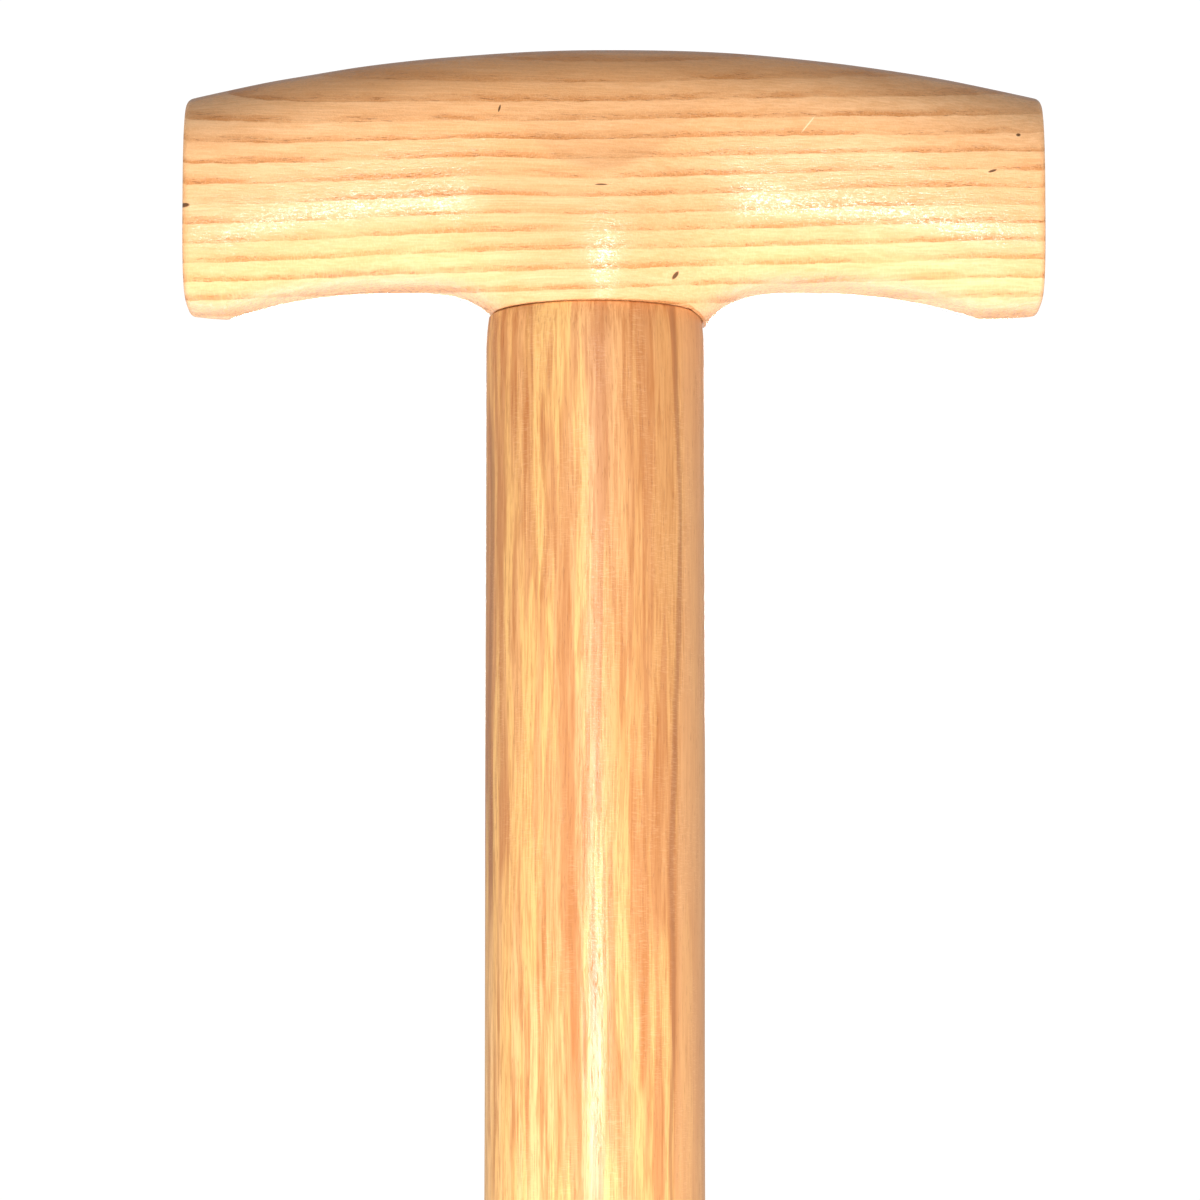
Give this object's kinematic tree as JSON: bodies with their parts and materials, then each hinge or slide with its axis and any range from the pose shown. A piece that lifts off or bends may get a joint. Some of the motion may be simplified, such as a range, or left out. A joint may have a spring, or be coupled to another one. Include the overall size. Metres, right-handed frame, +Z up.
{
  "type": "garden dibber",
  "caption": "T-handled garden dibber: a crowned ash cross-grip pinned on a round ash shaft, with a riveted, socketed steel cone for making planting holes.",
  "frame": {"origin": "tip of the steel point, on the axis of the shaft", "axes": "+Z up the shaft to the crown of the grip, X along the T-grip with its longer end at +X, front at -Y"},
  "size_m": [0.1364, 0.0404, 0.4],
  "materials": {
    "ash_grip": "satin lacquer, pale ash with close growth rings along the grip",
    "ash_shaft": "satin lacquer, warm ash with long streaks",
    "point_steel": "fine turned satin",
    "rivet_steel": "hammered satin",
    "pin_steel": "plain drawn wire, sunk head"
  },
  "bodies": {
    "root": {"t_grip": "ash_grip", "shaft": "ash_shaft", "grip_pin": "pin_steel", "steel_point": "point_steel", "socket_rivet": "rivet_steel"}
  },
  "joints": []
}
